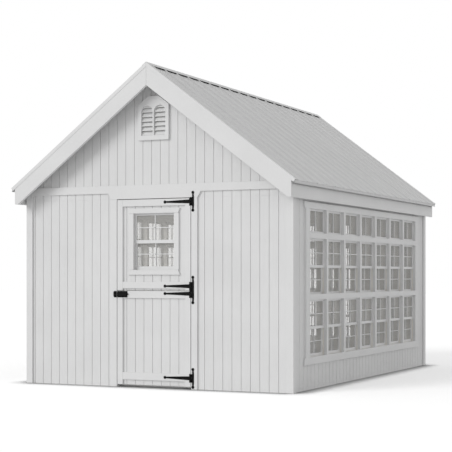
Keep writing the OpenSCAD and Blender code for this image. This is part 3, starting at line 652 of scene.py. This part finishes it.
# %% Drip strips
DRIP_H = 0.024
DRIP_IN = 0.010
FLANGE = 0.028
HEM = 0.005
UNDER_SHEET = 0.0008
RISE = 0.75
sheet_low, sheet_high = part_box("roof_sheets")
strip_top = sheet_low[2] + UNDER_SHEET
strip_size = (DRIP_H, sheet_high[1] - sheet_low[1], 1)
for side, side_name in ((1, "right"), (-1, "left")):
    bpy.ops.object.select_all(action="DESELECT")
    bpy.ops.mesh.primitive_plane_add(
        size=1, location=(side * (sheet_high[0] - DRIP_IN), 0, strip_top - DRIP_H / 2),
        rotation=(0, math.pi / 2, 0))
    strip = bpy.context.object
    strip.scale = strip_size
    bpy.ops.object.transform_apply(location=True, rotation=True, scale=True)
    fold(strip, strip_top, (-side * FLANGE, 0, RISE * FLANGE))
    fold(strip, strip_top - DRIP_H, (side * HEM, 0, -HEM))
    modify(strip, "SOLIDIFY", thickness=DRIP_T, offset=0)
    own(strip, side_name + "_drip_strip", "building", roof_paint)
    face_outwards(strip)
    print("drip strip:", strip.name)

# %% [markdown]
# Air slots keep the roof dry, and show as thin dark lines: one over each fascia, just under the foot of
# the drip strip, and one over the side windows, where the siding is set back between the head trim and
# the soffit. A cube with eased edges is the cutter, and a boolean takes it out of the fascias and of the
# two long walls.

# %% Air slots
SLOT_H = 0.012
SLOT_DEEP = 0.014
WALL_SLOT_DEEP = 0.010
SLOT_EASED = 0.001
fascia_low, fascia_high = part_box("fascias")
drip_foot = strip_top - DRIP_H - HEM
head_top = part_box("window_head_and_sill_trims")[1][2]
soffit_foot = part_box("eave_soffits")[0][2]
glass_end = -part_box("right_glass")[0][1]
fascia_slot = (2 * SLOT_DEEP, fascia_high[1] - fascia_low[1] - SLOT_DEEP, SLOT_H)
wall_slot = (2 * WALL_SLOT_DEEP, 2 * glass_end, soffit_foot - head_top)


def air_slot(piece_name, middle, size):
    """Cuts a long slot with eased edges out of a piece."""
    cutter = cube(middle, size)
    modify(cutter, "BEVEL", width=SLOT_EASED, segments=2)
    cut(bpy.data.objects[piece_name], cutter)
    print("air slot", round(size[1], 2), "m long in", piece_name)


for side, wall in ((1, "right_siding_grooved"), (-1, "left_siding_grooved")):
    air_slot("fascias_eased", (side * fascia_high[0], 0, drip_foot), fascia_slot)
    air_slot(wall, (side * SIDE_FACE, 0, (head_top + soffit_foot) / 2), wall_slot)

# %% [markdown]
# Between the tall ribs of the sheets, foam closures fill the gap under the ridge cap and keep rain and
# wasps out. From below they show as a row of black dashes, whose black is painted shade: it stands in
# for the shadow in the gaps under the cap. One closure is a cube with eased edges, as long as the gap
# between the tops of two ribs, so that its ends press into their sloping sides. It is copied along the ridge
# and tilted to each slope.

# %% Ridge closures
RIB_PITCH = 0.250
RIB_TOP = 0.024
RIB_H = 0.010
SHEET_T = 0.003
ROOF_ANGLE = math.atan(RISE)
CLOSURE_DEEP = 0.020
CLOSURE_CLEAR = 0.0003
CLOSURE_EASED = 0.0006
CAP_REACH = 0.058
INSIDE_CAP = 0.001
closure_h = RIB_H - 2 * CLOSURE_CLEAR
plumb = 1 / math.cos(ROOF_ANGLE)
cap_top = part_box("ridge_cap")[1][2]
rib_apex = cap_top - (SHEET_T + CLOSURE_CLEAR) * plumb
sheet_foot_apex = rib_apex - (RIB_H + SHEET_T) * plumb
down_slope = CAP_REACH - INSIDE_CAP - CLOSURE_DEEP / 2
sheet_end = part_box("roof_sheets")[1][1]
bays = int(sheet_end / RIB_PITCH)
blank_closure = cube((0, 0, closure_h / 2), (CLOSURE_DEEP, RIB_PITCH - RIB_TOP, closure_h))
modify(blank_closure, "BEVEL", width=CLOSURE_EASED, segments=1)
closures = []
for side in (1, -1):
    tilt = Matrix.Rotation(side * ROOF_ANGLE, 4, "Y")
    slope = Matrix.Translation((0, 0, sheet_foot_apex)) @ tilt
    for bay in range(-bays, bays):
        seat = (side * down_slope, (bay + 0.5) * RIB_PITCH, SHEET_T + CLOSURE_CLEAR)
        closures.append(copy_to(blank_closure, slope @ Matrix.Translation(seat)))
bpy.data.objects.remove(blank_closure)
print("ridge closures:", len(closures))
# The closures take the black foam, which paints the shadow in the gaps under the cap.
joined(closures, "ridge_closures", "building", gap_shade_foam)

# %% [markdown]
# The floor is pale and plain. To the camera it is white: a white surface with a little of its own light,
# just enough that the open floor reaches white, and the building's shadows fall on it. Within a quarter
# of a metre of the walls, its colour and its own light are darkened by how much of the sky the walls hide,
# which is painted shadow: the narrow dark shadow that the building stands on. Glossy and transmitted
# rays see the same, so that metal and glass show a white floor too. Other rays find a plain pale surface.

# %% Floor
FLOOR_SIZE = 120
FLOOR_OWN_LIGHT = 0.27
PAINTED_SHADOW_REACH = 0.25
PAINTED_SHADOW_POWER = 2.4
bpy.ops.object.select_all(action="DESELECT")
bpy.ops.mesh.primitive_plane_add(size=FLOOR_SIZE, location=(0, 0, 0))
floor = bpy.context.object
floor.name = "studio_floor"


def seen_directly(tree):
    """One where a camera, glossy or transmitted ray looks, else zero."""
    ray = add(tree, "ShaderNodeLightPath")
    mirrored = add(tree, "ShaderNodeMath", {"operation": "MAXIMUM"},
                   {0: ray.outputs["Is Glossy Ray"], 1: ray.outputs["Is Transmission Ray"]})
    either = add(tree, "ShaderNodeMath", {"operation": "MAXIMUM"},
                 {0: ray.outputs["Is Camera Ray"], 1: mirrored.outputs[0]})
    return either.outputs[0]


floor_paint, tree, shader, place = start_material("matt_pale_floor", roughness=0.9)
shader.inputs["Base Color"].default_value = colour("#E2E2E2")
# Painted shadow: the sky that the walls hide, raised to a power, darkens the floor's colour and own light.
open_sky = add(tree, "ShaderNodeAmbientOcclusion", {"samples": 8, "Distance": PAINTED_SHADOW_REACH})
shade = add(tree, "ShaderNodeMath", {"operation": "POWER", 1: PAINTED_SHADOW_POWER},
            {0: open_sky.outputs["AO"]})
white = add(tree, "ShaderNodeBsdfDiffuse", links={"Color": shade.outputs[0]})
lift = add(tree, "ShaderNodeEmission", {"Strength": FLOOR_OWN_LIGHT}, {"Color": shade.outputs[0]})
lit_white = add(tree, "ShaderNodeAddShader", links={0: white.outputs[0], 1: lift.outputs[0]})
pick = add(tree, "ShaderNodeMixShader", links={
    0: seen_directly(tree), 1: shader.outputs[0], 2: lit_white.outputs[0]})
tree.links.new(pick.outputs[0], tree.nodes["Material Output"].inputs["Surface"])
floor.data.materials.append(floor_paint)
print("floor:", FLOOR_SIZE, "m wide")

# %% [markdown]
# The world is an even pale studio that shows as white behind the object, and lights the window wall
# and the right slope. What the camera sees of it is brighter than what lights the building, so that
# white paint still stands out from the white behind it.

# %% World
WORLD_LEVEL = 0.60
world = bpy.data.worlds.new("even_pale_studio")
bpy.context.scene.world = world
world.use_nodes = True
tree = world.node_tree
sky = tree.nodes["Background"]
sky.inputs["Color"].default_value = colour("#FFFFFF")
sky.inputs["Strength"].default_value = WORLD_LEVEL
backdrop = add(tree, "ShaderNodeBackground", {"Color": colour("#FFFFFF"), "Strength": 1.0})
pick = add(tree, "ShaderNodeMixShader", links={
    0: seen_directly(tree), 1: sky.outputs[0], 2: backdrop.outputs[0]})
tree.links.new(pick.outputs[0], tree.nodes["World Output"].inputs["Surface"])
print("world level:", WORLD_LEVEL)

# %% [markdown]
# A soft key light comes from the front, a little from the left, so that the front is the brightest wall,
# and the right wall and the places under the eaves stay in soft shade. A sun as wide as 30 degrees
# leaves no hard shadow, as on a day with thin cloud.

# %% Key light
KEY_LEVEL = 1.12
KEY_SPREAD = math.radians(30)
KEY_PLACE = (0, 0, 10)
TOWARDS_KEY = Vector((-6.0, -9.0, 5.0))
bpy.ops.object.light_add(type="SUN", location=KEY_PLACE)
key = bpy.context.object
key.name = "soft_key_light"
key.data.energy = KEY_LEVEL
key.data.angle = KEY_SPREAD
key.rotation_euler = TOWARDS_KEY.to_track_quat("Z", "Y").to_euler()
print("key level:", KEY_LEVEL)
